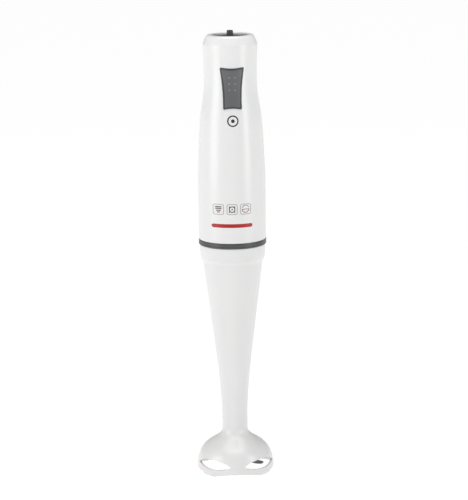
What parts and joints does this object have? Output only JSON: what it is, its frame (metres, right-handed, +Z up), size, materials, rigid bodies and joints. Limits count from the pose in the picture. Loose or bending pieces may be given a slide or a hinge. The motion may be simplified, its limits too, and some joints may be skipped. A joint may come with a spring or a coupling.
{
  "type": "immersion blender",
  "caption": "Stick blender: white motor handle with a grey push switch, tapered leg that turns off, and a domed guard with side windows over a spinning blade.",
  "frame": {"origin": "on the worktop, at the centre of the bell guard's feet", "axes": "+Z up along the blender's axis, -Y towards the switch, +X to its right"},
  "size_m": [0.0658, 0.0658, 0.3789],
  "materials": {
    "white_plastic": "gloss moulded, fine satin grain",
    "white_nylon": "moulded",
    "grey_plastic": "satin moulded",
    "switch_grey": "soft-touch, satin",
    "switch_dots": "raised dots, satin",
    "dark_cap": "fine spark-eroded grain",
    "gland_rubber": "matt",
    "inner_grey": "moulded, glass filled",
    "black_plastic": "moulded",
    "black_rubber": "matt",
    "plated_steel": "zinc plated",
    "bright_steel": "ground",
    "blade_steel": "hardened, ground edges",
    "hub_alloy": "turned",
    "bronze": "sintered",
    "copper": "enamelled",
    "core_steel": "stacked sheets",
    "magnet": "ferrite",
    "carbon": "graphite",
    "board_green": "lacquered",
    "capacitor_yellow": "moulded box"
  },
  "bodies": {
    "leg": {"leg_tube": "white_plastic", "leg_socket": "white_nylon", "upper_leg_bush": "bronze", "bell_guard": "white_plastic", "lower_leg_bush": "bronze", "shaft_seal": "black_rubber", "seal_retainer": "bright_steel"},
    "leg_seal": {"sealing_ring": "black_rubber"},
    "rotor": {"motor_shaft": "bright_steel", "armature_core": "core_steel", "armature_windings": "copper", "commutator": "copper", "rotor_washers": "plated_steel", "cooling_fan": "black_plastic", "motor_dog": "black_plastic"},
    "button": {"switch_button": "switch_grey", "grip_dots": "switch_dots"},
    "plunger": {"switch_plunger": "white_nylon"},
    "blade_drive": {"drive_shaft": "bright_steel", "driven_dog": "white_nylon", "shaft_washers": "plated_steel", "retaining_ring": "plated_steel", "blade_hub": "hub_alloy", "blade": "blade_steel", "blade_rivet": "bright_steel"},
    "handle": {"front_shell": "white_plastic", "rear_shell": "white_plastic", "shell_screws": "plated_steel", "screw_plugs": "white_plastic", "top_cap": "dark_cap", "cord_gland": "gland_rubber", "coupling_base": "grey_plastic", "lower_motor_mount": "inner_grey", "lower_damper": "black_rubber", "motor_screws": "plated_steel", "motor_can": "plated_steel", "field_magnets": "magnet", "lower_motor_bush": "bronze", "brush_plate": "black_plastic", "brush_holders": "bronze", "carbon_brushes": "carbon", "brush_springs": "plated_steel", "upper_motor_bush": "bronze", "upper_damper": "black_rubber", "upper_motor_mount": "inner_grey", "circuit_board": "board_green", "bridge_rectifier": "black_plastic", "suppression_capacitor": "capacitor_yellow", "choke_coil": "copper", "board_screws": "plated_steel", "switch_carrier": "inner_grey", "carrier_screws": "plated_steel", "push_switch": "black_plastic", "switch_terminals": "bronze", "button_hinge_pin": "plated_steel", "plunger_spring": "plated_steel"}
  },
  "joints": [
    {"name": "handle_turn", "type": "hinge", "parent": "leg", "child": "leg_seal", "pos_m": [0, 0, 0.1985], "axis": [0, 0, 1], "range_deg": [0, 90]},
    {"name": "handle_rise", "type": "slide", "parent": "leg_seal", "child": "handle", "axis": [0, 0, 1], "range_m": [0, 0.015]},
    {"name": "rotor_spin", "type": "hinge", "parent": "handle", "child": "rotor", "pos_m": [0, 0, 0.25], "axis": [0, 0, 1], "continuous": true},
    {"name": "blade_spin", "type": "hinge", "parent": "leg", "child": "blade_drive", "pos_m": [0, 0, 0.1], "axis": [0, 0, 1], "continuous": true},
    {"name": "button_press", "type": "hinge", "parent": "handle", "child": "button", "pos_m": [0, -0.0166, 0.3198], "axis": [-1, 0, 0], "range_deg": [0, 4.2], "stiffness_Nm_per_rad": 0.1, "springref_deg": -11.46},
    {"name": "plunger_slide", "type": "slide", "parent": "handle", "child": "plunger", "axis": [0, 1, 0], "range_m": [0, 0.0014], "deforming": ["plunger_spring"]}
  ],
  "couplings": [
    {"joint": "handle_rise", "follows": "handle_turn", "m_per_rad": 0.0095493},
    {"joint": "blade_spin", "follows": "rotor_spin", "ratio": 1},
    {"joint": "plunger_slide", "follows": "button_press", "m_per_rad": 0.0185}
  ]
}
